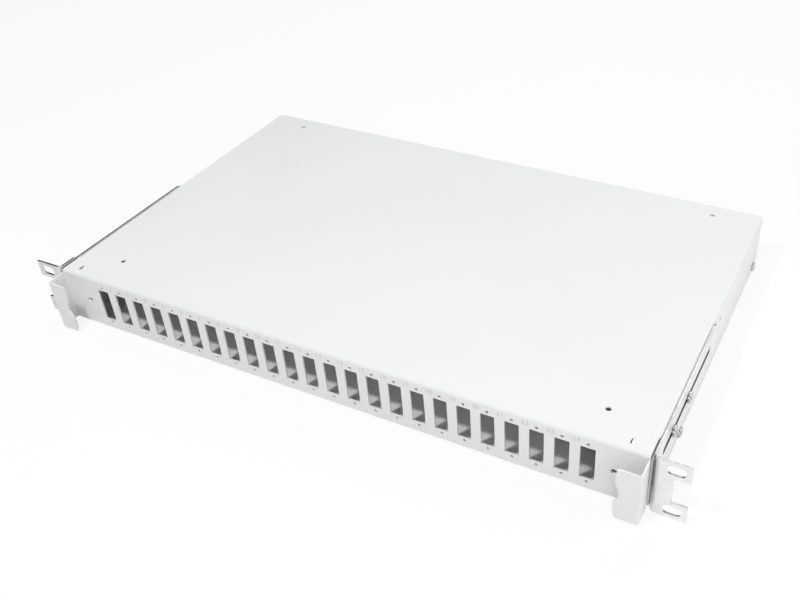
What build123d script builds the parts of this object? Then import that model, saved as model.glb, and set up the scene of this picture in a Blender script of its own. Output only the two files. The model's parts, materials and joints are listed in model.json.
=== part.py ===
"""Fibre optic patch panel, one rack unit high, on two depth-adjusting rails.

X runs to the right as seen from the front, Y runs back into the rack and Z is up. The origin is the middle of the
four rack slots, on the rear faces of the ears, which bear on the rack. Sizes are in millimetres.
"""
import os

from build123d import *

os.makedirs("parts", exist_ok=True)

# Rack interface
rack_hole_span = 465.1
rack_hole_rise = 31.75
ear_edge = 8.75
ear_margin = 6.025
ear_root = 14.05
ear_slot_width = 6.8
ear_slot_length = 11.8
ear_arm = 2.875
ear_notch_depth = 9.7

# Sheet metal
sheet = 1.2
rail_sheet = 1.5
bend_inside = 1.0
ear_bend_inside = 3.0

# Housing shell
housing_depth = 266.0
housing_height = 41.8
panel_inset = 0.5
panel_gap = 0.4
skirt_drop = 0.5
skirt_start = 17.0
skirt_setback = 1.8
slit_inset = 1.0
slit_depth = 3.7

# Ports
port_pitch = 15.8
port_end_margin = 27.0
port_width = 9.3
port_height = 25.4
port_z = -0.3
port_screw_edge = 2.4
port_screw_d = 2.2

# Cable hooks
hook_reach = 14.0
hook_lip = 14.2
hook_lip_bulge = 0.9
hook_lip_notch = 1.4
hook_lip_foot = 1.5
hook_bulge_start = 5.5
hook_bulge_end = 11.7
hook_notch_start = 16.3
hook_notch_end = 21.8
hook_foot_start = 26.2
hook_foot_chamfer = 1.5
hook_foot_slope = 4.0
hook_top_gap = 0.2
hook_hole_d = 2.8
hook_hole_reach = 7.3
hook_hole_z = 15.3

# Holes in the shell
stack_hole_d = 3.6
stack_hole_inset = 34.5
stack_hole_front = 26.1
stack_hole_from_rear = 13.1
accessory_hole_d = 4.2
accessory_tap_d = 3.3
accessory_inset = 20.4
accessory_z = 0.0
tab_inset = 12.6
tab_from_front = 7.45
tab_length = 3.7
tab_gap = 0.1
tab_left_gap = 1.0
tab_rear_gap = 0.5

# Rails
rail_gap = 0.3
rail_drop = 0.3
rail_below_slot = 15.0
rail_length = 132.0
rail_root = 12.0
rail_taper = 16.0
rail_top_taper = 3.0
rail_top_corner = 9.0
rail_low_corner = 4.0
slot_z = 9.2
slot_front = 16.5
slot_rear_margin = 16.5
slot_width = 5.0

# Side screws, all M4
screw_d = 4.0
screw_head_d = 7.6
screw_head_h = 2.0
screw_dome = 1.0
screw_recess = 1.0
screw_recess_depth = 1.0
screw_play = 0.1
head_gap = 0.3
screw_tail = 0.6
nut_d = 8.0
nut_h = 3.0
slide_screw_front = 36.0
slide_screw_pitch = 31.0
spare_screw_from_front = 149.0
shell_screw_front = 61.0
shell_screw_from_rear = 14.0
shell_screw_rise = 5.8

# Tray
tray_gap = 0.2
flange_height = 14.0
rear_lip = 12.0
rear_inset = 0.4
rear_top_gap = 0.3
corner_gap = 3.0

# Corner brackets
bracket_sheet = 1.2
bracket_flange = 14.0
bracket_depth = 26.0
bracket_top_gap = 0.3
rivet_d = 3.2
rivet_head_d = 6.4
rivet_head_h = 0.9
rivet_bulb_d = 4.4
rivet_bulb_h = 0.3
rivet_pitch = 12.0

# Splice cassettes
cassette_length = 150.0
cassette_width = 100.0
cassette_height = 11.0
cassette_wall = 1.5
cassette_corner = 18.0
cassette_from_front = 130.0
cassette_stud_pitch = 116.0
cassette_boss_d = 10.0
lid_sheet = 1.5
lid_rib = 2.0
comb_length = 40.0
comb_width = 32.0
comb_height = 6.0
comb_slots = 6
comb_slot_width = 2.8
comb_base = 1.6
comb_pitch = 46.0
coil_guide_r = 26.0
coil_guide_x = 42.0
coil_guide_wall = 1.5
coil_guide_height = 6.0

# Studs, washers and nuts inside the tray
stud_d = 4.0
stud_flange_d = 6.5
stud_flange_h = 1.0
washer_d = 9.0
washer_h = 0.8
hex_nut_flats = 7.0
hex_nut_h = 3.2
stud_tail = 1.8

# Fibre guides
guide_width = 14.0
guide_height = 12.0
guide_wall = 1.4
guide_length = 10.0
guide_mouth = 2.5
guide_corner = 2.0
guide_from_cassette = 45.0
guide_from_front = 62.0
guide_row_pitch = 64.0
guide_rows = 3

# Strength member anchors
anchor_width = 16.0
anchor_height = 15.0
anchor_foot = 13.0
anchor_from_rear = 42.0

# Earth point
earth_inset = 21.1
earth_from_rear = 76.0
earth_stud_height = 16.0

# Cable entries
entry_d = 20.6
entry_z = -4.0
entry_inset = 41.1
entry_pitch = 35.0
gland_thread_d = 20.0
gland_bore_d = 13.0
gland_flats = 24.0
gland_flange = 5.5
gland_tail = 9.0
gland_nose = 8.0
gland_nose_d = 18.6
gland_play = 0.2
dome_length = 15.0
dome_mouth_d = 12.5
dome_round = 3.0
dome_wall = 2.0
seal_bore_d = 10.0
locknut_flats = 26.0
locknut_h = 4.5
plug_head_d = 24.0
plug_head_h = 2.0
plug_wall = 1.6
plug_lip = 0.7
plug_lip_h = 1.5
plug_play = 0.3

# Derived sizes
ear_span = rack_hole_span + 2 * ear_edge
ear_height = rack_hole_rise + 2 * ear_margin
ear_notch_height = rack_hole_rise - ear_slot_width - 2 * ear_arm
housing_width = rack_hole_span - 2 * ear_root
housing_top = housing_height / 2
floor_bottom = -housing_height / 2
panel_bottom = floor_bottom + panel_gap
panel_width = housing_width - 2 * panel_inset
skirt_bottom = floor_bottom - skirt_drop
port_count = int((panel_width - 2 * port_end_margin) // port_pitch)
port_screw_gap = port_height + 2 * port_screw_edge

# Derived places
front_y = -rail_sheet
panel_back = front_y + sheet
rear_y = front_y + housing_depth
bend_outside = bend_inside + sheet
side_x = housing_width / 2
panel_x = panel_width / 2
under_top = housing_top - sheet
bend_z = housing_top - bend_outside
hook_top = bend_z - hook_top_gap
hook_front = front_y - hook_reach
skirt_front = front_y + skirt_start
skirt_edge = panel_back + skirt_setback
slit_x = side_x - slit_inset
slit_floor = housing_top - slit_depth
rail_inner = side_x + rail_gap
rail_outer = rail_inner + rail_sheet
rail_top = housing_top - rail_drop
rail_low = slot_z - rail_below_slot
slot_start = front_y + slot_front
slot_end = rail_length - slot_rear_margin
ear_top = ear_height / 2
tray_x = side_x - sheet - tray_gap
floor_top = floor_bottom + sheet
wall_outer = rear_y - rear_inset
wall_inner = wall_outer - sheet
port_xs = [(i - (port_count - 1) / 2) * port_pitch for i in range(port_count)]
slide_screw_ys = [front_y + slide_screw_front, front_y + slide_screw_front + slide_screw_pitch]
spare_screw_y = front_y + spare_screw_from_front
shell_screw_ys = [front_y + shell_screw_front, rear_y - shell_screw_from_rear]
shell_screw_z = floor_bottom + shell_screw_rise
stack_hole_x = side_x - stack_hole_inset
accessory_x = panel_x - accessory_inset
tab_x = panel_x - tab_inset
entry_x = tray_x - entry_inset
plug_x = entry_x - entry_pitch
guide_x = cassette_length / 2 + guide_from_cassette
tab_y = front_y + tab_from_front
cassette_y = front_y + cassette_from_front
shaft_hole_d = screw_d + 2 * screw_play
stack_ys = [front_y + stack_hole_front, rear_y - stack_hole_from_rear]


def front_plane(y):
    """A plane facing the front at depth y, with X across and Z up."""
    return Plane.XZ.offset(-y)


def side_plane(x):
    """A plane facing +X, with Y across and Z up."""
    return Plane.YZ.offset(x)


# Shell: top, front panel, hooks and skirts in one folded sheet
with BuildPart() as shell:
    # Front edge of the top, with the bend down to the panel
    with BuildSketch(side_plane(-slit_x)):
        with BuildLine():
            Line((front_y, bend_z), (panel_back, bend_z))
            RadiusArc((panel_back, bend_z), (front_y + bend_outside, under_top), bend_inside)
            Line((front_y + bend_outside, under_top), (skirt_front, under_top))
            Line((skirt_front, under_top), (skirt_front, housing_top))
            Line((skirt_front, housing_top), (front_y + bend_outside, housing_top))
            RadiusArc((front_y + bend_outside, housing_top), (front_y, bend_z), -bend_outside)
        make_face()
    extrude(amount=2 * slit_x)
    # Flat of the panel
    with BuildSketch(front_plane(front_y)):
        with Locations((0, (bend_z + panel_bottom) / 2)):
            Rectangle(panel_width - 2 * bend_outside, bend_z - panel_bottom)
    extrude(amount=-sheet)
    # Top and skirts
    with BuildSketch(front_plane(skirt_front)):
        with BuildLine():
            Polyline(
                (-side_x, skirt_bottom), (-side_x, housing_top), (side_x, housing_top), (side_x, skirt_bottom),
                (side_x - sheet, skirt_bottom), (side_x - sheet, under_top), (-side_x + sheet, under_top),
                (-side_x + sheet, skirt_bottom), close=True,
            )
        section = make_face()
        fillet(section.vertices().group_by(Axis.Y)[-1], bend_outside)
        fillet(section.vertices().filter_by_position(Axis.Y, under_top - sheet / 2, under_top + sheet / 2)
               .filter_by_position(Axis.X, -side_x + sheet / 2, side_x - sheet / 2), bend_inside)
    extrude(amount=-(rear_y - skirt_front))
    # Skirts run on towards the panel, below a slit beside the top
    with BuildSketch(front_plane(skirt_edge)):
        with Locations(*[(s * (side_x - sheet / 2), (slit_floor + skirt_bottom) / 2) for s in (1, -1)]):
            Rectangle(sheet, slit_floor - skirt_bottom)
    extrude(amount=-(skirt_front - skirt_edge))
    # Hooks at the ends of the panel
    for side in (1, -1):
        with BuildSketch(Plane.XY.offset(panel_bottom)):
            with BuildLine():
                tip_x = panel_x - hook_lip - hook_lip_foot
                Polyline(
                    (side * (panel_x - 2 * bend_outside), panel_back), (side * panel_x, panel_back),
                    (side * panel_x, hook_front), (side * tip_x, hook_front),
                    (side * tip_x, hook_front + sheet), (side * (panel_x - sheet), hook_front + sheet),
                    (side * (panel_x - sheet), front_y), (side * (panel_x - 2 * bend_outside), front_y), close=True,
                )
            plan = make_face()
            outer = plan.vertices().filter_by(lambda v: abs(v.X) > panel_x - sheet / 2)
            fillet(outer, bend_outside)
            inner = plan.vertices().filter_by(lambda v: abs(abs(v.X) - panel_x + sheet) < sheet / 4)
            inner = inner.filter_by(lambda v: hook_front + sheet / 2 < v.Y < front_y + sheet / 2)
            fillet(inner, bend_inside)
        extrude(amount=hook_top - panel_bottom)
    # Edge of each hook's lip
    lip_x = panel_x - hook_lip
    foot_x = lip_x - hook_lip_foot
    lip_edge = [
        (lip_x, hook_top), (lip_x - hook_lip_bulge, hook_top - hook_bulge_start),
        (lip_x - hook_lip_bulge, hook_top - hook_bulge_end), (lip_x + hook_lip_notch, hook_top - hook_notch_start),
        (lip_x + hook_lip_notch, hook_top - hook_notch_end), (foot_x, hook_top - hook_foot_start),
        (foot_x, panel_bottom + hook_foot_slope), (foot_x + hook_foot_chamfer, panel_bottom),
    ]
    for side in (1, -1):
        with BuildSketch(front_plane(hook_front)):
            with BuildLine():
                Polyline(
                    *[(side * x, z) for x, z in lip_edge], (side * (foot_x - sheet), panel_bottom),
                    (side * (foot_x - sheet), hook_top), close=True,
                )
            make_face()
        extrude(amount=-sheet, mode=Mode.SUBTRACT)
    # Ports and the adapter screw holes above and below each
    with BuildSketch(front_plane(front_y)):
        with Locations(*[(x, port_z) for x in port_xs]):
            Rectangle(port_width, port_height)
        with Locations(*[(x, port_z + s * port_screw_gap / 2) for x in port_xs for s in (1, -1)]):
            Circle(port_screw_d / 2)
        with Locations((accessory_x, accessory_z), (-accessory_x, accessory_z)):
            Circle(accessory_hole_d / 2)
    extrude(amount=-sheet, mode=Mode.SUBTRACT)
    # Holes in the top, and slots that leave most room at the left and rear of each tab
    with BuildSketch(Plane.XY.offset(housing_top)):
        with Locations(*[(s * stack_hole_x, y) for s in (1, -1) for y in stack_ys]):
            Circle(stack_hole_d / 2)
        tab_slot_y = tab_y + (tab_rear_gap - tab_gap) / 2
        with Locations(*[(s * tab_x + (tab_gap - tab_left_gap) / 2, tab_slot_y) for s in (1, -1)]):
            Rectangle(bracket_sheet + tab_gap + tab_left_gap, tab_length + tab_gap + tab_rear_gap)
    extrude(amount=-sheet, mode=Mode.SUBTRACT)
    # Screw holes in the skirts
    with BuildSketch(side_plane(-side_x)):
        with Locations(*[(y, slot_z) for y in slide_screw_ys + [spare_screw_y]]):
            Circle(shaft_hole_d / 2)
        with Locations(*[(y, shell_screw_z) for y in shell_screw_ys]):
            Circle(shaft_hole_d / 2)
    extrude(amount=housing_width, mode=Mode.SUBTRACT)
    # Small hole in each hook's flange
    with BuildSketch(side_plane(-panel_x)):
        with Locations((front_y - hook_hole_reach, hook_hole_z)):
            Circle(hook_hole_d / 2)
    extrude(amount=panel_width, mode=Mode.SUBTRACT)
shell.part.label = "shell"
export_step(shell.part, "parts/shell.step")

# Tray: floor, side flanges and rear wall
flange_top = floor_bottom + flange_height
tray_front = panel_back + tray_gap
with BuildPart() as tray:
    with BuildSketch(front_plane(tray_front)):
        with BuildLine():
            Polyline(
                (-tray_x, flange_top), (-tray_x, floor_bottom), (tray_x, floor_bottom), (tray_x, flange_top),
                (tray_x - sheet, flange_top), (tray_x - sheet, floor_top), (-tray_x + sheet, floor_top),
                (-tray_x + sheet, flange_top), close=True,
            )
        section = make_face()
        fillet(section.vertices().group_by(Axis.Y)[0], bend_outside)
        fillet(section.vertices().filter_by_position(Axis.Y, floor_top - sheet / 2, floor_top + sheet / 2)
               .filter_by_position(Axis.X, -tray_x + sheet / 2, tray_x - sheet / 2), bend_inside)
    extrude(amount=-(wall_inner - bend_inside - tray_front))
    with BuildSketch(side_plane(-tray_x + corner_gap)):
        with BuildLine():
            Polyline(
                (wall_inner - 2 * bend_outside, floor_bottom), (wall_outer, floor_bottom),
                (wall_outer, under_top - rear_top_gap), (wall_outer - rear_lip, under_top - rear_top_gap),
                (wall_outer - rear_lip, under_top - rear_top_gap - sheet),
                (wall_inner, under_top - rear_top_gap - sheet), (wall_inner, floor_top),
                (wall_inner - 2 * bend_outside, floor_top), close=True,
            )
        section = make_face()
        fillet(section.vertices().group_by(Axis.X)[-1], bend_outside)
        fillet(section.vertices().filter_by(lambda v: abs(v.X - wall_inner) < sheet / 4), bend_inside)
    extrude(amount=2 * (tray_x - corner_gap))
    # Cable entries
    with BuildSketch(front_plane(wall_inner)):
        with Locations(*[(s * x, entry_z) for s in (1, -1) for x in (entry_x, plug_x)]):
            Circle(entry_d / 2)
    extrude(amount=-sheet, mode=Mode.SUBTRACT)
    # Holes for the shell screws
    with BuildSketch(side_plane(-tray_x)):
        with Locations(*[(y, shell_screw_z) for y in shell_screw_ys]):
            Circle(shaft_hole_d / 2)
    extrude(amount=2 * tray_x, mode=Mode.SUBTRACT)
    # Holes for the bracket rivets
    rivet_x = tab_x - bracket_flange / 2
    rivet_ys = [panel_back + bracket_depth / 2 + s * rivet_pitch / 2 for s in (-1, 1)]
    with BuildSketch(Plane.XY.offset(floor_bottom)):
        with Locations(*[(s * rivet_x, y) for s in (1, -1) for y in rivet_ys]):
            Circle(rivet_d / 2 + screw_play)
    extrude(amount=sheet, mode=Mode.SUBTRACT)
tray.part.label = "tray"
export_step(tray.part, "parts/tray.step")

# Rails: side plate with the long slot, bent out to the rack ear
with BuildPart() as right_rail:
    with BuildSketch(Plane.XY.offset(-ear_top)):
        with BuildLine():
            Polyline(
                (rail_inner, rail_length), (rail_inner, -rail_sheet), (ear_span / 2, -rail_sheet), (ear_span / 2, 0),
                (rail_outer, 0), (rail_outer, rail_length), close=True,
            )
        plan = make_face()
        corner = plan.vertices().filter_by(lambda v: abs(v.X - rail_inner) < rail_sheet / 4)
        fillet(corner.sort_by(Axis.Y)[0], ear_bend_inside + rail_sheet)
        inside = plan.vertices().filter_by(lambda v: abs(v.X - rail_outer) < rail_sheet / 4)
        fillet(inside.sort_by(Axis.Y)[0], ear_bend_inside)
    extrude(amount=ear_height)
    # Side plate narrows behind the ear
    with BuildSketch(side_plane(rail_inner)):
        with BuildLine():
            Polyline(
                (rail_root, -ear_top), (rail_root + rail_taper, rail_low), (rail_length, rail_low),
                (rail_length, -ear_top), close=True,
            )
        make_face()
        with BuildLine():
            Polyline(
                (rail_root, ear_top), (rail_root + rail_top_taper, rail_top), (rail_length, rail_top),
                (rail_length, ear_top), close=True,
            )
        make_face()
        with Locations(((slot_start + slot_end) / 2, slot_z)):
            SlotOverall(slot_end - slot_start, slot_width)
    extrude(amount=rail_sheet, mode=Mode.SUBTRACT)
    rear_edges = right_rail.edges().filter_by(Axis.X).group_by(Axis.Y)[-1].sort_by(Axis.Z)
    fillet(rear_edges[0], rail_low_corner)
    fillet(right_rail.edges().filter_by(Axis.X).group_by(Axis.Y)[-1].sort_by(Axis.Z)[-1], rail_top_corner)
    # Ear slots and notch
    with BuildSketch(front_plane(-rail_sheet)):
        with Locations((rack_hole_span / 2, rack_hole_rise / 2), (rack_hole_span / 2, -rack_hole_rise / 2)):
            SlotOverall(ear_slot_length, ear_slot_width)
        with Locations(((ear_span - ear_notch_depth) / 2, 0)):
            Rectangle(ear_notch_depth, ear_notch_height)
    extrude(amount=-rail_sheet, mode=Mode.SUBTRACT)
right_rail.part.label = "right_rail"
export_step(right_rail.part, "parts/right_rail.step")

with BuildPart() as left_rail:
    mirror(right_rail.part, about=Plane.YZ)
left_rail.part.label = "left_rail"
export_step(left_rail.part, "parts/left_rail.step")


def pan_screw(shank):
    """A pan head screw with a cross recess, its seat at the origin and its head towards +Z."""
    with BuildPart() as screw:
        Cylinder(screw_head_d / 2, screw_head_h, align=(Align.CENTER, Align.CENTER, Align.MIN))
        fillet(screw.edges().group_by(Axis.Z)[-1], screw_dome)
        Cylinder(screw_d / 2, shank, align=(Align.CENTER, Align.CENTER, Align.MAX))
        with BuildSketch(Plane.XY.offset(screw_head_h)):
            Rectangle(screw_head_d / 2, screw_recess)
            Rectangle(screw_recess, screw_head_d / 2)
        extrude(amount=-screw_recess_depth, mode=Mode.SUBTRACT)
    return screw.part


def ring(outer, inner, height):
    """A round washer or nut standing on the XY plane."""
    with BuildPart() as washer:
        with BuildSketch():
            Circle(outer / 2)
            Circle(inner / 2, mode=Mode.SUBTRACT)
        extrude(amount=height)
    return washer.part


def hex_ring(flats, inner, height):
    """A hexagon nut standing on the XY plane, with two corners along X."""
    with BuildPart() as nut:
        with BuildSketch():
            RegularPolygon(flats / 2, 6, major_radius=False)
            Circle(inner / 2, mode=Mode.SUBTRACT)
        extrude(amount=height)
    return nut.part


def outward(side, x, y, z):
    """A place on the panel's side with its Z axis pointing out of that side."""
    return Location(Plane(origin=(side * x, y, z), x_dir=(0, 1, 0), z_dir=(side, 0, 0)))


def to_front(x, y, z):
    """A place with its Z axis pointing to the front."""
    return Location(Plane(origin=(x, y, z), x_dir=(1, 0, 0), z_dir=(0, -1, 0)))


def to_rear(x, y, z):
    """A place with its Z axis pointing to the rear."""
    return Location(Plane(origin=(x, y, z), x_dir=(1, 0, 0), z_dir=(0, 1, 0)))


# Screws that ride in the rails' slots
slide_seat = rail_outer + head_gap
slide_shank = slide_seat - (side_x - sheet - nut_h) + screw_tail
slide_screw = pan_screw(slide_shank)
with BuildPart() as slide_screws:
    with Locations(*[outward(s, slide_seat, y, slot_z) for s in (1, -1) for y in slide_screw_ys]):
        add(slide_screw)
slide_screws.part.label = "slide_screws"
export_step(slide_screws.part, "parts/slide_screws.step")

# Clinch nuts of the slide screws, with a spare pair further back
clinch_nut = ring(nut_d, shaft_hole_d, nut_h)
with BuildPart() as slide_nuts:
    nut_ys = slide_screw_ys + [spare_screw_y]
    with Locations(*[outward(s, side_x - sheet - nut_h, y, slot_z) for s in (1, -1) for y in nut_ys]):
        add(clinch_nut)
slide_nuts.part.label = "slide_nuts"
export_step(slide_nuts.part, "parts/slide_nuts.step")

# Screws that hold the shell to the tray
shell_shank = side_x - (tray_x - sheet - nut_h) + screw_tail
shell_screw = pan_screw(shell_shank)
with BuildPart() as shell_screws:
    with Locations(*[outward(s, side_x, y, shell_screw_z) for s in (1, -1) for y in shell_screw_ys]):
        add(shell_screw)
shell_screws.part.label = "shell_screws"
export_step(shell_screws.part, "parts/shell_screws.step")

with BuildPart() as shell_nuts:
    with Locations(*[outward(s, tray_x - sheet - nut_h, y, shell_screw_z) for s in (1, -1) for y in shell_screw_ys]):
        add(clinch_nut)
shell_nuts.part.label = "shell_nuts"
export_step(shell_nuts.part, "parts/shell_nuts.step")

# Corner brackets: web with the tab, front flange with the tapped hole, and foot on the tray
bracket_top = under_top - bracket_top_gap
with BuildPart() as bracket_right:
    web_out = tab_x + bracket_sheet / 2
    web_in = tab_x - bracket_sheet / 2
    with BuildSketch(side_plane(web_in)):
        with BuildLine():
            Polyline(
                (panel_back, floor_top), (panel_back + bracket_depth, floor_top),
                (panel_back + bracket_depth, 0), (tab_y + tab_length, bracket_top),
                (tab_y + tab_length / 2, bracket_top), (tab_y + tab_length / 2, housing_top),
                (tab_y - tab_length / 2, housing_top), (tab_y - tab_length / 2, bracket_top),
                (panel_back + bend_inside, bracket_top), (panel_back, bend_z - bracket_top_gap), close=True,
            )
        make_face()
    extrude(amount=bracket_sheet)
    with BuildSketch(front_plane(panel_back)):
        flange_rise = bend_z - bracket_top_gap - floor_top
        with Locations((web_out - bracket_flange / 2, floor_top + flange_rise / 2)):
            Rectangle(bracket_flange, flange_rise)
        with Locations((accessory_x, accessory_z)):
            Circle(accessory_tap_d / 2, mode=Mode.SUBTRACT)
    extrude(amount=-bracket_sheet)
    with BuildSketch(Plane.XY.offset(floor_top)):
        with Locations((web_out - bracket_flange / 2, panel_back + bracket_depth / 2)):
            Rectangle(bracket_flange, bracket_depth)
        with Locations(*[(rivet_x, y) for y in rivet_ys]):
            Circle(rivet_d / 2 + screw_play, mode=Mode.SUBTRACT)
    extrude(amount=bracket_sheet)
bracket_right.part.label = "bracket_right"
export_step(bracket_right.part, "parts/bracket_right.step")

with BuildPart() as bracket_left:
    mirror(bracket_right.part, about=Plane.YZ)
bracket_left.part.label = "bracket_left"
export_step(bracket_left.part, "parts/bracket_left.step")

with BuildPart() as rivet:
    Cylinder(rivet_head_d / 2, rivet_head_h, align=(Align.CENTER, Align.CENTER, Align.MIN))
    fillet(rivet.edges().group_by(Axis.Z)[-1], rivet_head_h / 2)
    grip = bracket_sheet + sheet
    Cylinder(rivet_d / 2, grip, align=(Align.CENTER, Align.CENTER, Align.MAX))
    with Locations((0, 0, -grip)):
        Cylinder(rivet_bulb_d / 2, rivet_bulb_h, align=(Align.CENTER, Align.CENTER, Align.MAX))
with BuildPart() as bracket_rivets:
    with Locations(*[(s * rivet_x, y, floor_top + bracket_sheet) for s in (1, -1) for y in rivet_ys]):
        add(rivet.part)
bracket_rivets.part.label = "bracket_rivets"
export_step(bracket_rivets.part, "parts/bracket_rivets.step")


def cassette_base(bottom):
    """An open splice cassette with bosses for the studs and two coil guides."""
    stud_xs = (-cassette_stud_pitch / 2, cassette_stud_pitch / 2)
    with BuildPart() as base:
        with BuildSketch(Plane.XY.offset(bottom)):
            with Locations((0, cassette_y)):
                RectangleRounded(cassette_length, cassette_width, cassette_corner)
        extrude(amount=cassette_height)
        with BuildSketch(Plane.XY.offset(bottom + cassette_wall)):
            with Locations((0, cassette_y)):
                RectangleRounded(cassette_length - 2 * cassette_wall, cassette_width - 2 * cassette_wall,
                                 cassette_corner - cassette_wall)
        extrude(amount=cassette_height - cassette_wall, mode=Mode.SUBTRACT)
        with BuildSketch(Plane.XY.offset(bottom + cassette_wall)):
            with Locations(*[(x, cassette_y) for x in stud_xs]):
                Circle(cassette_boss_d / 2)
        extrude(amount=cassette_height - cassette_wall)
        with BuildSketch(Plane.XY.offset(bottom + cassette_wall)):
            for side in (1, -1):
                with Locations((side * coil_guide_x, cassette_y)):
                    Circle(coil_guide_r)
                    Circle(coil_guide_r - coil_guide_wall, mode=Mode.SUBTRACT)
            with Locations((0, cassette_y)):
                Rectangle(2 * coil_guide_x, 2 * coil_guide_r + coil_guide_wall, mode=Mode.SUBTRACT)
        extrude(amount=coil_guide_height)
        with BuildSketch(Plane.XY.offset(bottom)):
            with Locations(*[(x, cassette_y) for x in stud_xs]):
                Circle(stud_flange_d / 2 + screw_play)
        extrude(amount=cassette_height, mode=Mode.SUBTRACT)
    return base.part


# Two stacked cassettes and their lid
upper_bottom = floor_top + cassette_height
lid_bottom = upper_bottom + cassette_height
lower_base = cassette_base(floor_top)
with BuildPart() as cassette_lower:
    add(lower_base)
cassette_lower.part.label = "cassette_lower"
export_step(cassette_lower.part, "parts/cassette_lower.step")

upper_base = cassette_base(upper_bottom)
with BuildPart() as cassette_upper:
    add(upper_base)
cassette_upper.part.label = "cassette_upper"
export_step(cassette_upper.part, "parts/cassette_upper.step")

stud_places = [(s * cassette_stud_pitch / 2, cassette_y) for s in (1, -1)]
with BuildPart() as cassette_lid:
    with BuildSketch(Plane.XY.offset(lid_bottom)):
        with Locations((0, cassette_y)):
            RectangleRounded(cassette_length, cassette_width, cassette_corner)
    extrude(amount=lid_sheet)
    with BuildSketch(Plane.XY.offset(lid_bottom)):
        with Locations((0, cassette_y)):
            RectangleRounded(cassette_length - 2 * cassette_wall - 2 * screw_play,
                             cassette_width - 2 * cassette_wall - 2 * screw_play,
                             cassette_corner - cassette_wall - screw_play)
            RectangleRounded(cassette_length - 4 * cassette_wall, cassette_width - 4 * cassette_wall,
                             cassette_corner - 2 * cassette_wall, mode=Mode.SUBTRACT)
    extrude(amount=-lid_rib)
    with BuildSketch(Plane.XY.offset(lid_bottom)):
        with Locations(*stud_places):
            Circle(stud_d / 2 + screw_play)
    extrude(amount=lid_sheet, mode=Mode.SUBTRACT)
cassette_lid.part.label = "cassette_lid"
export_step(cassette_lid.part, "parts/cassette_lid.step")

# Splice combs, two in each cassette
with BuildPart() as comb:
    with BuildSketch():
        Rectangle(comb_width, comb_length)
    extrude(amount=comb_height)
    with BuildSketch(Plane.XY.offset(comb_base)):
        with GridLocations(comb_width / comb_slots, comb_length, comb_slots, 1):
            Rectangle(comb_slot_width, comb_length)
    extrude(amount=comb_height - comb_base, mode=Mode.SUBTRACT)
with BuildPart() as splice_combs:
    comb_zs = (floor_top + cassette_wall, upper_bottom + cassette_wall)
    with Locations(*[(0, cassette_y + s * comb_pitch / 2, z) for s in (1, -1) for z in comb_zs]):
        add(comb.part)
splice_combs.part.label = "splice_combs"
export_step(splice_combs.part, "parts/splice_combs.step")

# Studs, washers and nuts of the cassettes
lid_top = lid_bottom + lid_sheet
stud_top = lid_top + washer_h + hex_nut_h + stud_tail
with BuildPart() as cassette_studs:
    with BuildSketch(Plane.XY.offset(floor_top)):
        with Locations(*stud_places):
            Circle(stud_flange_d / 2)
    extrude(amount=stud_flange_h)
    with BuildSketch(Plane.XY.offset(floor_top)):
        with Locations(*stud_places):
            Circle(stud_d / 2)
    extrude(amount=stud_top - floor_top)
cassette_studs.part.label = "cassette_studs"
export_step(cassette_studs.part, "parts/cassette_studs.step")

flat_washer = ring(washer_d, stud_d + 2 * screw_play, washer_h)
hex_nut = hex_ring(hex_nut_flats, stud_d + 2 * screw_play, hex_nut_h)
with BuildPart() as cassette_washers:
    with Locations(*[(x, y, lid_top) for x, y in stud_places]):
        add(flat_washer)
cassette_washers.part.label = "cassette_washers"
export_step(cassette_washers.part, "parts/cassette_washers.step")

with BuildPart() as cassette_nuts:
    with Locations(*[(x, y, lid_top + washer_h) for x, y in stud_places]):
        add(hex_nut)
cassette_nuts.part.label = "cassette_nuts"
export_step(cassette_nuts.part, "parts/cassette_nuts.step")

# Fibre guides along both sides of the cassettes
with BuildPart() as guide:
    with BuildSketch(Plane.XZ):
        with Locations((0, guide_height / 2)):
            RectangleRounded(guide_width, guide_height, guide_corner)
            RectangleRounded(guide_width - 2 * guide_wall, guide_height - 2 * guide_wall, guide_corner / 2,
                             mode=Mode.SUBTRACT)
        with Locations((0, guide_height)):
            Rectangle(guide_mouth, 4 * guide_wall, mode=Mode.SUBTRACT)
    extrude(amount=guide_length / 2, both=True)
with BuildPart() as fibre_guides:
    guide_ys = [front_y + guide_from_front + i * guide_row_pitch for i in range(guide_rows)]
    with Locations(*[(s * guide_x, y, floor_top) for s in (1, -1) for y in guide_ys]):
        add(guide.part)
fibre_guides.part.label = "fibre_guides"
export_step(fibre_guides.part, "parts/fibre_guides.step")

# Anchors for the cables' strength members
anchor_y = rear_y - anchor_from_rear
with BuildPart() as anchor:
    with BuildSketch(Plane.YZ):
        with BuildLine():
            Polyline(
                (0, 0), (anchor_foot, 0), (anchor_foot, bracket_sheet), (bracket_sheet, bracket_sheet),
                (bracket_sheet, anchor_height), (0, anchor_height), close=True,
            )
        make_face()
    extrude(amount=anchor_width / 2, both=True)
    with BuildSketch(Plane.XZ):
        with Locations((0, anchor_height - washer_d / 2 - bracket_sheet)):
            Circle(shaft_hole_d / 2)
    extrude(amount=-bracket_sheet, mode=Mode.SUBTRACT)
anchor_places = [(s * entry_x, anchor_y, floor_top) for s in (1, -1)]
anchor_hole_z = floor_top + anchor_height - washer_d / 2 - bracket_sheet
with BuildPart() as anchor_brackets:
    with Locations(*anchor_places):
        add(anchor.part)
anchor_brackets.part.label = "anchor_brackets"
export_step(anchor_brackets.part, "parts/anchor_brackets.step")

anchor_screw = pan_screw(washer_h + bracket_sheet + hex_nut_h + screw_tail)
with BuildPart() as anchor_screws:
    with Locations(*[to_front(x, y - washer_h, anchor_hole_z) for x, y, z in anchor_places]):
        add(anchor_screw)
anchor_screws.part.label = "anchor_screws"
export_step(anchor_screws.part, "parts/anchor_screws.step")

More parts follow.
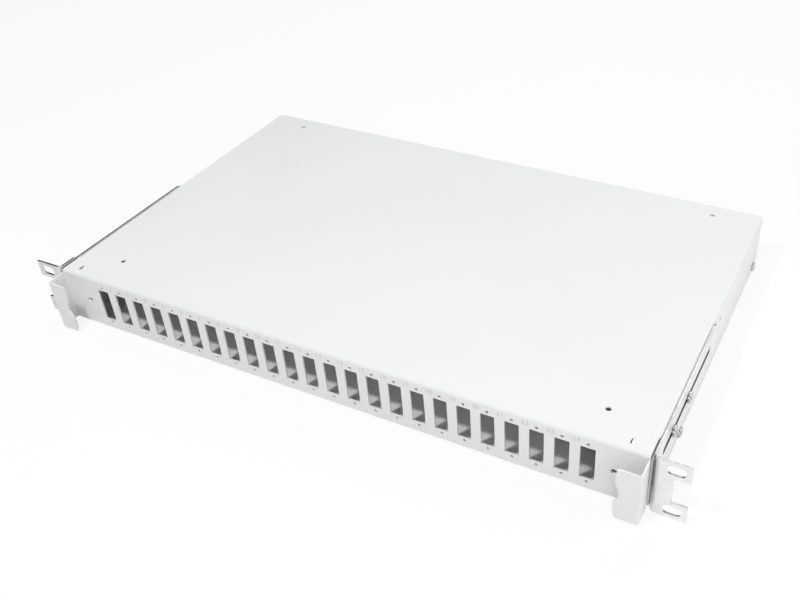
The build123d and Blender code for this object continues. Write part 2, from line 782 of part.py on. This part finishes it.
with BuildPart() as anchor_washers:
    with Locations(*[to_front(x, y, anchor_hole_z) for x, y, z in anchor_places]):
        add(flat_washer)
anchor_washers.part.label = "anchor_washers"
export_step(anchor_washers.part, "parts/anchor_washers.step")

with BuildPart() as anchor_nuts:
    with Locations(*[to_rear(x, y + bracket_sheet, anchor_hole_z) for x, y, z in anchor_places]):
        add(hex_nut)
anchor_nuts.part.label = "anchor_nuts"
export_step(anchor_nuts.part, "parts/anchor_nuts.step")

# Earth point: stud, washer and two nuts
earth_place = (earth_inset - tray_x, rear_y - earth_from_rear)
with BuildPart() as earth_stud:
    with BuildSketch(Plane.XY.offset(floor_top)):
        with Locations(earth_place):
            Circle(stud_flange_d / 2)
    extrude(amount=stud_flange_h)
    with BuildSketch(Plane.XY.offset(floor_top)):
        with Locations(earth_place):
            Circle(stud_d / 2)
    extrude(amount=earth_stud_height)
earth_stud.part.label = "earth_stud"
export_step(earth_stud.part, "parts/earth_stud.step")

earth_seat = floor_top + stud_flange_h
with BuildPart() as earth_nuts:
    with Locations(*[(*earth_place, z) for z in (earth_seat, earth_seat + hex_nut_h + washer_h)]):
        add(hex_nut)
earth_nuts.part.label = "earth_nuts"
export_step(earth_nuts.part, "parts/earth_nuts.step")

with BuildPart() as earth_washer:
    with Locations((*earth_place, earth_seat + hex_nut_h)):
        add(flat_washer)
earth_washer.part.label = "earth_washer"
export_step(earth_washer.part, "parts/earth_washer.step")

# Cable glands: body through the rear wall, locknut inside, seal and dome nut outside
gland_places = [(s * entry_x, entry_z) for s in (1, -1)]
with BuildPart() as gland:
    with BuildSketch():
        RegularPolygon(gland_flats / 2, 6, major_radius=False)
    extrude(amount=gland_flange)
    with BuildSketch(Plane.XY.offset(gland_flange)):
        Circle(gland_nose_d / 2)
    extrude(amount=gland_nose)
    with BuildSketch():
        Circle(gland_thread_d / 2)
    extrude(amount=-(sheet + gland_tail))
    with BuildSketch(Plane.XY.offset(gland_flange + gland_nose)):
        Circle(gland_bore_d / 2)
    extrude(amount=-(gland_flange + gland_nose + sheet + gland_tail), mode=Mode.SUBTRACT)
with BuildPart() as gland_bodies:
    with Locations(*[to_rear(x, wall_outer, z) for x, z in gland_places]):
        add(gland.part)
gland_bodies.part.label = "gland_bodies"
export_step(gland_bodies.part, "parts/gland_bodies.step")

dome_seat = gland_flange + gland_play
dome_bore = gland_nose_d / 2 + gland_play
seal_start = gland_flange + gland_nose
seal_length = dome_seat + dome_length - dome_wall - seal_start
with BuildPart() as dome:
    with BuildSketch(Plane.XY.offset(dome_seat)):
        RegularPolygon(gland_flats / 2, 6, major_radius=False)
    extrude(amount=dome_length / 2)
    with BuildSketch(Plane.XY.offset(dome_seat)):
        Circle(gland_flats / 2)
    extrude(amount=dome_length)
    fillet(dome.edges().group_by(Axis.Z)[-1], dome_round)
    with BuildSketch(Plane.XY.offset(dome_seat)):
        Circle(dome_bore)
    extrude(amount=dome_length - dome_wall, mode=Mode.SUBTRACT)
    with BuildSketch(Plane.XY.offset(dome_seat)):
        Circle(dome_mouth_d / 2)
    extrude(amount=dome_length, mode=Mode.SUBTRACT)
with BuildPart() as gland_domes:
    with Locations(*[to_rear(x, wall_outer, z) for x, z in gland_places]):
        add(dome.part)
gland_domes.part.label = "gland_domes"
export_step(gland_domes.part, "parts/gland_domes.step")

gland_seal = ring(gland_nose_d, seal_bore_d, seal_length)
with BuildPart() as gland_seals:
    with Locations(*[to_rear(x, wall_outer + seal_start, z) for x, z in gland_places]):
        add(gland_seal)
gland_seals.part.label = "gland_seals"
export_step(gland_seals.part, "parts/gland_seals.step")

locknut = hex_ring(locknut_flats, gland_thread_d + 2 * screw_play, locknut_h)
with BuildPart() as gland_locknuts:
    with Locations(*[to_front(x, wall_inner, z) for x, z in gland_places]):
        add(locknut)
gland_locknuts.part.label = "gland_locknuts"
export_step(gland_locknuts.part, "parts/gland_locknuts.step")

# Snap-in plugs in the entries without a gland
with BuildPart() as plug:
    shank_r = entry_d / 2 - plug_play
    with BuildSketch():
        Circle(plug_head_d / 2)
    extrude(amount=plug_head_h)
    with BuildSketch():
        Circle(shank_r)
        Circle(shank_r - plug_wall, mode=Mode.SUBTRACT)
    extrude(amount=-(sheet + plug_play + plug_lip_h))
    with BuildSketch(Plane.XY.offset(-sheet - plug_play)):
        Circle(shank_r + plug_lip)
        Circle(shank_r - plug_wall, mode=Mode.SUBTRACT)
    extrude(amount=-plug_lip_h)
with BuildPart() as entry_plugs:
    with Locations(*[to_rear(s * plug_x, wall_outer, entry_z) for s in (1, -1)]):
        add(plug.part)
entry_plugs.part.label = "entry_plugs"
export_step(entry_plugs.part, "parts/entry_plugs.step")
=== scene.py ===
"""Finishes, port numbers, floor, light and camera for the fibre optic patch panel, in metres."""
import json
import math

import bmesh
import bpy
from mathutils import Matrix, Quaternion, Vector


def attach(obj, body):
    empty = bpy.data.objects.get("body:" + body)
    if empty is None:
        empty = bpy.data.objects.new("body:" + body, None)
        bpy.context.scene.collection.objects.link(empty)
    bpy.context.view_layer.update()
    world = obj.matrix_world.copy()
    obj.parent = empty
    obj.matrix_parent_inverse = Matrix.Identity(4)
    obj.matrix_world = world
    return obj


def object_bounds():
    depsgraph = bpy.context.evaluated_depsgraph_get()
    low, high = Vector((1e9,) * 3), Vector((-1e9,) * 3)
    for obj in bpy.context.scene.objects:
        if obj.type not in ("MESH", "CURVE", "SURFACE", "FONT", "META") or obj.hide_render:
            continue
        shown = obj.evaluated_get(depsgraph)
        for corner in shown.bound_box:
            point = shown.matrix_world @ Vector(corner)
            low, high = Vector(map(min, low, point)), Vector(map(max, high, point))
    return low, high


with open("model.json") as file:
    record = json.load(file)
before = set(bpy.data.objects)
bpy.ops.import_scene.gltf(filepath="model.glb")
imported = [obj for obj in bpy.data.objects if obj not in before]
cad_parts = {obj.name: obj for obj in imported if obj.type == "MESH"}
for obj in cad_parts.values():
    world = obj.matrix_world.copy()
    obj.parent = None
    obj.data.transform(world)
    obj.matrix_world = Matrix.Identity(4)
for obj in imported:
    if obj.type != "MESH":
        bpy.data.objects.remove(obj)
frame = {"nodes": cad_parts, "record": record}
cad_low, cad_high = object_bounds()
record = frame["record"]
MM = 0.001

# Panel sheet and the numbers printed on it
SHEET = 1.2 * MM
DIGIT_SIZE = 4.9 * MM
DIGIT_LEFT = 7.2 * MM
DIGIT_ABOVE_HOLE = 1.6 * MM
INK_THICKNESS = 0.02 * MM

# Edge radius of each finish
EDGE_RADIUS = {
    "powder_coat": 0.1 * MM,
    "galvanised": 0.12 * MM,
    "zinc_plate": 0.12 * MM,
    "cassette_plastic": 0.2 * MM,
    "clear_plastic": 0.15 * MM,
    "nylon": 0.15 * MM,
    "soft_rubber": 0.15 * MM,
    "grey_polyamide": 0.2 * MM,
}
EDGE_SEGMENTS = 2
SHARP_ANGLE = math.radians(32)
FLAT_ANGLE = math.radians(0.4)
WELD_DISTANCE = 0.01 * MM

# Painted shade on the rails' level cut edges: darkest in the slots, where one looks into shade, lighter in
# the ears' notch and at the rim, told apart by height
EAR_REACH = 22.0 * MM
NOTCH_LOW = 9.2 * MM
NOTCH_HIGH = 10.0 * MM
RIM_LOW = 20.0 * MM
# Painted shade colours: darkest on the slot edges, a little lighter on the open edges
SLOT_EDGE_SHADE = (0.2, 0.2, 0.2, 1)
OPEN_EDGE_SHADE = (0.3, 0.3, 0.295, 1)
LEVEL_FROM = 0.6
LEVEL_TO = 0.8

# Usual range of a noise field
NOISE_LOW = 0.3
NOISE_HIGH = 0.7

# Moulded finishes: dark and light colour, roughness, grain size and relief
BLOTCH_SIZE = 25 * MM
ROUGHNESS_SPREAD = 0.06
MOULDED = {
    "cassette_plastic": ((0.75, 0.75, 0.72), (0.80, 0.80, 0.77), 0.45, 0.6 * MM, 0.01 * MM),
    "nylon": ((0.83, 0.82, 0.76), (0.88, 0.87, 0.82), 0.42, 0.8 * MM, 0.006 * MM),
    "soft_rubber": ((0.04, 0.04, 0.045), (0.06, 0.06, 0.065), 0.62, 0.5 * MM, 0.015 * MM),
    "grey_polyamide": ((0.39, 0.41, 0.42), (0.45, 0.47, 0.48), 0.5, 0.5 * MM, 0.015 * MM),
}

# Camera, with its sensor and lens in millimetres
CAMERA_PLACE = Vector((0.30122, -0.35900, 0.40362))
CAMERA_AZIMUTH = math.radians(27.33)
CAMERA_ELEVATION = math.radians(36.647)
CAMERA_ROLL = math.radians(-2.066)
CAMERA_SENSOR = 36
CAMERA_LENS = 42.597
CAMERA_SHIFT = (-0.09898, -0.01367)
CAMERA_NEAR = 0.01

# Light: azimuth and elevation in degrees, distance, size and power of each softbox
WHITE = (1, 1, 1, 1)
WORLD_LEVEL = 0.28
LAMP_COLOUR = (0.98, 0.988, 1.0)
SOFTBOXES = {
    "key_softbox": (-12, 58, 1.06, 0.08, 5.05),
    "fill_softbox": (38, 22, 0.9, 0.5, 1.25),
    "side_softbox": (92, 20, 0.8, 0.4, 1.65),
    "back_softbox": (178, 42, 1.5, 0.8, 6.0),
    "far_softbox": (-140, 70, 1.1, 0.6, 1.4),
}

# Floor, and how much of the object's shadow shows on it
FLOOR_SIZE = 12.0
FLOOR_COLOUR = (0.9, 0.885, 0.865, 1)
FLOOR_SHADOW = 0.14
FLOOR_SHADOW_IN_METAL = 0.4

# Cards that only gloss shows, painting dark reflections into the metal: place, size, grey, and whether the
# card lies on the floor
CARD_LIFT = 0.4 * MM
CARD_ROUGHNESS = 0.9
CARDS = {
    "back_card": ((-1.3, 0.72, 0.8), 1.4, 0.03, False),
    "front_card": ((0.55, -0.8, 0.95), 0.9, 0.05, False),
    "right_card": ((1.0, -0.1, 0.35), 1.5, 0.04, False),
    "ear_card": ((-0.315, -0.07, cad_low.z + CARD_LIFT), 0.17, 0.7, True),
}


class Finish:
    """A node material whose textures follow the piece's own coordinates, at real scale."""

    def __init__(self, name):
        self.material = bpy.data.materials.new(name)
        self.material.use_nodes = True
        self.tree = self.material.node_tree
        self.shader = self.tree.nodes["Principled BSDF"]
        self.place = self.tree.nodes.new("ShaderNodeTexCoord").outputs["Object"]

    def link(self, output, target):
        self.tree.links.new(output, target)

    def stretched(self, scale):
        """Coordinates multiplied by a number along each axis."""
        mapping = self.tree.nodes.new("ShaderNodeMapping")
        mapping.inputs["Scale"].default_value = scale
        self.link(self.place, mapping.inputs["Vector"])
        return mapping.outputs["Vector"]

    def noise(self, size, detail=2.0, roughness=0.5, place=None):
        """Noise whose features are about size across."""
        noise = self.tree.nodes.new("ShaderNodeTexNoise")
        noise.inputs["Scale"].default_value = 1 / size
        noise.inputs["Detail"].default_value = detail
        noise.inputs["Roughness"].default_value = roughness
        self.link(place or self.place, noise.inputs["Vector"])
        return noise.outputs["Fac"]

    def crystals(self, size):
        """A random grey for each cell of about that size."""
        cells = self.tree.nodes.new("ShaderNodeTexVoronoi")
        cells.inputs["Scale"].default_value = 1 / size
        self.link(self.place, cells.inputs["Vector"])
        split = self.tree.nodes.new("ShaderNodeSeparateColor")
        self.link(cells.outputs["Color"], split.inputs["Color"])
        return split.outputs["Red"]

    def mix(self, a, b, share):
        """A blend of two fields with that share of b."""
        mix = self.tree.nodes.new("ShaderNodeMix")
        mix.inputs["Factor"].default_value = share
        self.link(a, mix.inputs["A"])
        self.link(b, mix.inputs["B"])
        return mix.outputs["Result"]

    def ramp(self, field, dark, light, low=NOISE_LOW, high=NOISE_HIGH):
        """A colour from dark to light as the field goes from low to high."""
        ramp = self.tree.nodes.new("ShaderNodeValToRGB")
        for element, position, value in zip(ramp.color_ramp.elements, (low, high), (dark, light)):
            element.position = position
            element.color = (*value, 1)
        self.link(field, ramp.inputs["Fac"])
        return ramp.outputs["Color"]

    def steps(self, field, first, changes):
        """A colour that changes at each given value of the field."""
        ramp = self.tree.nodes.new("ShaderNodeValToRGB")
        ramp.color_ramp.interpolation = "CONSTANT"
        ramp.color_ramp.elements.remove(ramp.color_ramp.elements[1])
        ramp.color_ramp.elements[0].color = first
        for position, colour in changes:
            ramp.color_ramp.elements.new(position).color = colour
        self.link(field, ramp.inputs["Fac"])
        return ramp.outputs["Color"]

    def colour(self, field, dark, light):
        """Base colour from dark to light over the field's usual range."""
        self.link(self.ramp(field, dark, light), self.shader.inputs["Base Color"])

    def blend(self, below, above, mask):
        """One colour over another where the mask is one."""
        mix = self.tree.nodes.new("ShaderNodeMixRGB")
        self.link(mask, mix.inputs["Fac"])
        self.link(below, mix.inputs["Color1"])
        self.link(above, mix.inputs["Color2"])
        return mix.outputs["Color"]

    def upward_size(self, vector):
        """How far a vector reaches up or down."""
        split = self.tree.nodes.new("ShaderNodeSeparateXYZ")
        self.link(vector, split.inputs["Vector"])
        size = self.tree.nodes.new("ShaderNodeMath")
        size.operation = "ABSOLUTE"
        self.link(split.outputs["Z"], size.inputs[0])
        return size.outputs["Value"]

    def level_faces(self):
        """One on faces that look up or down."""
        step = self.tree.nodes.new("ShaderNodeMapRange")
        step.inputs["From Min"].default_value = LEVEL_FROM
        step.inputs["From Max"].default_value = LEVEL_TO
        normal = self.tree.nodes.new("ShaderNodeNewGeometry").outputs["Normal"]
        self.link(self.upward_size(normal), step.inputs["Value"])
        return step.outputs["Result"]

    def roughness(self, field, low, high):
        """Roughness from low to high over the field's usual range."""
        spread = self.tree.nodes.new("ShaderNodeMapRange")
        limits = {"From Min": NOISE_LOW, "From Max": NOISE_HIGH, "To Min": low, "To Max": high}
        for name, value in limits.items():
            spread.inputs[name].default_value = value
        self.link(field, spread.inputs["Value"])
        self.link(spread.outputs["Result"], self.shader.inputs["Roughness"])

    def bump(self, field, height):
        """Surface relief of that height."""
        bump = self.tree.nodes.new("ShaderNodeBump")
        bump.inputs["Distance"].default_value = height
        self.link(field, bump.inputs["Height"])
        self.link(bump.outputs["Normal"], self.shader.inputs["Normal"])

    def set(self, **values):
        """Fixed values on the shader's own sockets."""
        for name, value in values.items():
            self.shader.inputs[name.replace("_", " ")].default_value = value


def powder_coat():
    """Light grey powder coat: soft cloudiness, a fine orange peel and a satin gloss."""
    finish = Finish("powder_coat")
    cloud = finish.noise(size=90 * MM, detail=3)
    peel = finish.noise(size=0.9 * MM)
    finish.colour(cloud, dark=(0.79, 0.793, 0.79), light=(0.81, 0.813, 0.81))
    finish.roughness(finish.mix(cloud, peel, share=0.5), low=0.56, high=0.66)
    finish.bump(peel, height=0.012 * MM)
    finish.set(Specular_IOR_Level=0.35)
    return finish.material


def galvanised(name, shaded_cut_edges):
    """Galvanised sheet: faint crystals, rolling lines, a soft metal gloss and, if asked, painted shade on
    the level cut edges.
    """
    finish = Finish(name)
    spangle = finish.crystals(size=6 * MM)
    lines = finish.noise(size=1 * MM, detail=3, place=finish.stretched((1, 0.04, 1)))
    field = finish.mix(spangle, lines, share=0.4)
    sheet = finish.ramp(field, dark=(0.81, 0.82, 0.825), light=(0.89, 0.90, 0.905), low=0.1, high=0.9)
    # Painted shade: the rails' level cut edges are darkened by height, darkest in the slots
    if shaded_cut_edges:
        height = finish.upward_size(finish.stretched((1 / EAR_REACH,) * 3))
        changes = ((NOTCH_LOW, OPEN_EDGE_SHADE), (NOTCH_HIGH, SLOT_EDGE_SHADE), (RIM_LOW, OPEN_EDGE_SHADE))
        edge = finish.steps(height, SLOT_EDGE_SHADE, [(place / EAR_REACH, colour) for place, colour in changes])
        sheet = finish.blend(sheet, edge, finish.level_faces())
    finish.link(sheet, finish.shader.inputs["Base Color"])
    finish.roughness(field, low=0.3, high=0.42)
    finish.bump(finish.noise(size=0.5 * MM), height=0.004 * MM)
    finish.set(Metallic=1.0)
    return finish.material


def zinc_plate():
    """Bright zinc plate on screws, nuts and studs."""
    finish = Finish("zinc_plate")
    field = finish.noise(size=1.2 * MM, detail=4, roughness=0.6)
    finish.colour(field, dark=(0.47, 0.48, 0.48), light=(0.62, 0.63, 0.63))
    finish.roughness(field, low=0.08, high=0.17)
    finish.bump(finish.noise(size=0.3 * MM), height=0.004 * MM)
    finish.set(Metallic=1.0)
    return finish.material


def moulded(name, dark, light, rough, grain, relief):
    """Moulded plastic or rubber with broad soft blotches and a fine grain."""
    finish = Finish(name)
    texture = finish.noise(size=grain, detail=3)
    finish.colour(finish.mix(finish.noise(size=BLOTCH_SIZE), texture, share=0.4), dark, light)
    finish.roughness(texture, low=rough - ROUGHNESS_SPREAD, high=rough + ROUGHNESS_SPREAD)
    finish.bump(texture, height=relief)
    return finish.material


def clear_plastic():
    """Clear smooth lid with faint flow marks from moulding."""
    finish = Finish("clear_plastic")
    flow = finish.noise(size=18 * MM, place=finish.stretched((1, 0.3, 1)))
    finish.colour(flow, dark=(0.88, 0.92, 0.94), light=(0.93, 0.96, 0.97))
    finish.roughness(flow, low=0.05, high=0.12)
    finish.bump(flow, height=0.02 * MM)
    finish.set(Transmission_Weight=0.85, IOR=1.49)
    return finish.material


def number_ink():
    """Pale grey screen print, a little uneven."""
    finish = Finish("number_ink")
    field = finish.noise(size=0.4 * MM, detail=3)
    finish.colour(field, dark=(0.53, 0.54, 0.54), light=(0.60, 0.61, 0.61))
    finish.roughness(field, low=0.5, high=0.62)
    return finish.material


def round_edges(piece, radius):
    """Small radii on a node's sharp edges, with even shading on the flat faces beside them."""
    weld = piece.modifiers.new("weld", "WELD")
    weld.merge_threshold = WELD_DISTANCE
    flat = piece.modifiers.new("flat_faces", "DECIMATE")
    flat.decimate_type = "DISSOLVE"
    flat.angle_limit = FLAT_ANGLE
    bevel = piece.modifiers.new("edge_radius", "BEVEL")
    bevel.width = radius
    bevel.segments = EDGE_SEGMENTS
    bevel.limit_method = "ANGLE"
    bevel.angle_limit = SHARP_ANGLE
    bevel.use_clamp_overlap = False
    shading = piece.modifiers.new("even_shading", "WEIGHTED_NORMAL")
    shading.keep_sharp = False


def dress_nodes():
    """Every node gets its finish and its edge radius."""
    finishes = {name: moulded(name, *look) for name, look in MOULDED.items()}
    finishes["powder_coat"] = powder_coat()
    finishes["galvanised"] = galvanised("galvanised", shaded_cut_edges=False)
    finishes["zinc_plate"] = zinc_plate()
    finishes["clear_plastic"] = clear_plastic()
    rail_finish = galvanised("galvanised_rail_painted_shade", shaded_cut_edges=True)
    for part in record["subparts"]:
        piece = frame["nodes"][part["node"]]
        on_rail = part["node"] in record["behaviour"]["bodies"]["rails"]
        for holder in piece.material_slots:
            holder.material = rail_finish if on_rail else finishes[part["material_slot"]]
        round_edges(piece, EDGE_RADIUS[part["material_slot"]])


def new_object(name, data):
    """An object in the scene that holds the data."""
    made = bpy.data.objects.new(name, data)
    bpy.context.scene.collection.objects.link(made)
    return made


def turn(made, rotation):
    """Gives an object that rotation."""
    made.rotation_mode = "QUATERNION"
    made.rotation_quaternion = rotation


def square_mesh(name, size, height=0):
    """One level square face at that height, with its middle on the Z axis."""
    half = size / 2
    corners = [(x, y, height) for x, y in ((-half, -half), (half, -half), (half, half), (-half, half))]
    mesh = bpy.data.meshes.new(name)
    mesh.from_pydata(corners, [], [(0, 1, 2, 3)])
    return mesh


def digits_mesh(text):
    """A flat mesh of one number, its middle at the origin."""
    curve = bpy.data.curves.new("digits", "FONT")
    curve.body = text
    curve.size = DIGIT_SIZE
    curve.align_x = "CENTER"
    curve.align_y = "CENTER"
    curve.extrude = INK_THICKNESS / 2
    holder = bpy.data.objects.new("digits", curve)
    mesh = bpy.data.meshes.new_from_object(holder)
    bpy.data.objects.remove(holder)
    return mesh


def port_numbers():
    """The numbers printed to the upper left of each port, all in one piece on the housing."""
    ports = [m for m in record["mounts"] if m["name"].startswith("adapter_")]
    upright = Matrix.Rotation(math.radians(90), 4, "X")
    joined = bmesh.new()
    for number, port in enumerate(ports, start=1):
        place = Vector(port["pos_m"])
        place.x -= DIGIT_LEFT
        place.y -= SHEET / 2 + INK_THICKNESS / 2
        place.z += port["dims"]["spacing_y_mm"] * MM / 2 + DIGIT_ABOVE_HOLE
        mesh = digits_mesh(str(number))
        mesh.transform(Matrix.Translation(place) @ upright)
        joined.from_mesh(mesh)
        bpy.data.meshes.remove(mesh)
    mesh = bpy.data.meshes.new("port_numbers")
    joined.to_mesh(mesh)
    joined.free()
    mesh.materials.append(number_ink())
    piece = new_object("port_numbers", mesh)
    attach(piece, "housing")


def seen_directly(tree, to_camera=1.0, in_gloss=1.0):
    """A share for camera rays, one for glossy and transmission rays, and zero for diffuse rays."""
    path = tree.nodes.new("ShaderNodeLightPath")
    shares = {"Is Camera Ray": to_camera, "Is Glossy Ray": in_gloss, "Is Transmission Ray": in_gloss}
    total = None
    for name, share in shares.items():
        part = tree.nodes.new("ShaderNodeMath")
        part.operation = "MULTIPLY"
        part.inputs[1].default_value = share
        tree.links.new(path.outputs[name], part.inputs[0])
        if total is None:
            total = part.outputs["Value"]
            continue
        more = tree.nodes.new("ShaderNodeMath")
        more.operation = "MAXIMUM"
        tree.links.new(total, more.inputs[0])
        tree.links.new(part.outputs["Value"], more.inputs[1])
        total = more.outputs["Value"]
    return total


def make_floor():
    """A wide pale floor that is white where it is seen and keeps part of the object's shadow."""
    mesh = square_mesh("floor", FLOOR_SIZE, cad_low.z)
    floor = new_object("floor", mesh)
    material = bpy.data.materials.new("floor")
    material.use_nodes = True
    tree = material.node_tree
    tree.nodes.clear()
    paint = tree.nodes.new("ShaderNodeBsdfDiffuse")
    paint.inputs["Color"].default_value = FLOOR_COLOUR
    glow = tree.nodes.new("ShaderNodeEmission")
    mix = tree.nodes.new("ShaderNodeMixShader")
    tree.links.new(seen_directly(tree, 1 - FLOOR_SHADOW, 1 - FLOOR_SHADOW_IN_METAL), mix.inputs["Fac"])
    tree.links.new(paint.outputs["BSDF"], mix.inputs[1])
    tree.links.new(glow.outputs["Emission"], mix.inputs[2])
    output = tree.nodes.new("ShaderNodeOutputMaterial")
    tree.links.new(mix.outputs["Shader"], output.inputs["Surface"])
    mesh.materials.append(material)


def make_world():
    """A surround that is plain white where it is seen and gives an even soft light."""
    world = bpy.data.worlds.new("studio")
    bpy.context.scene.world = world
    world.use_nodes = True
    tree = world.node_tree
    tree.nodes.clear()
    seen = tree.nodes.new("ShaderNodeBackground")
    seen.inputs["Color"].default_value = WHITE
    light = tree.nodes.new("ShaderNodeBackground")
    light.inputs["Color"].default_value = WHITE
    light.inputs["Strength"].default_value = WORLD_LEVEL
    mix = tree.nodes.new("ShaderNodeMixShader")
    tree.links.new(seen_directly(tree), mix.inputs["Fac"])
    tree.links.new(light.outputs["Background"], mix.inputs[1])
    tree.links.new(seen.outputs["Background"], mix.inputs[2])
    output = tree.nodes.new("ShaderNodeOutputWorld")
    tree.links.new(mix.outputs["Shader"], output.inputs["Surface"])


def direction(azimuth, elevation):
    """From the object towards a point in the room. Azimuth 0 is straight in front, right is positive."""
    level = math.cos(elevation)
    return Vector((math.sin(azimuth) * level, -math.cos(azimuth) * level, math.sin(elevation)))


def make_softbox(name, azimuth, elevation, distance, size, power):
    """A square softbox aimed at the middle of the object."""
    middle = (cad_low + cad_high) / 2
    towards = direction(math.radians(azimuth), math.radians(elevation))
    lamp = bpy.data.lights.new(name, "AREA")
    lamp.size = size
    lamp.energy = power
    lamp.color = LAMP_COLOUR
    holder = new_object(name, lamp)
    holder.location = middle + towards * distance
    turn(holder, (-towards).to_track_quat("-Z", "Y"))


def make_card(name, place, size, grey, lying):
    """A card that only metal and gloss show, a painted reflection, standing square to the object or lying
    on the floor.
    """
    mesh = square_mesh(name, size)
    card = new_object(name, mesh)
    card.location = place
    facing = Vector((0, 0, 1)) if lying else Vector(place)
    turn(card, facing.to_track_quat("Z", "Y"))
    card.visible_camera = False
    card.visible_diffuse = False
    card.visible_shadow = False
    material = bpy.data.materials.new(name)
    material.use_nodes = True
    paint = material.node_tree.nodes["Principled BSDF"]
    paint.inputs["Base Color"].default_value = (grey, grey, grey, 1)
    paint.inputs["Roughness"].default_value = CARD_ROUGHNESS
    mesh.materials.append(material)


def make_camera():
    """The photograph's viewpoint."""
    data = bpy.data.cameras.new("camera")
    data.sensor_width = CAMERA_SENSOR
    data.lens = CAMERA_LENS
    data.shift_x, data.shift_y = CAMERA_SHIFT
    data.clip_start = CAMERA_NEAR
    camera = new_object("camera", data)
    camera.location = CAMERA_PLACE
    look = -direction(CAMERA_AZIMUTH, CAMERA_ELEVATION)
    turn(camera, look.to_track_quat("-Z", "Y") @ Quaternion((0, 0, 1), CAMERA_ROLL))
    bpy.context.scene.camera = camera


dress_nodes()
port_numbers()
make_floor()
make_world()
for name, settings in SOFTBOXES.items():
    make_softbox(name, *settings)
for name, settings in CARDS.items():
    make_card(name, *settings)
make_camera()
bpy.context.scene.view_settings.view_transform = "Standard"
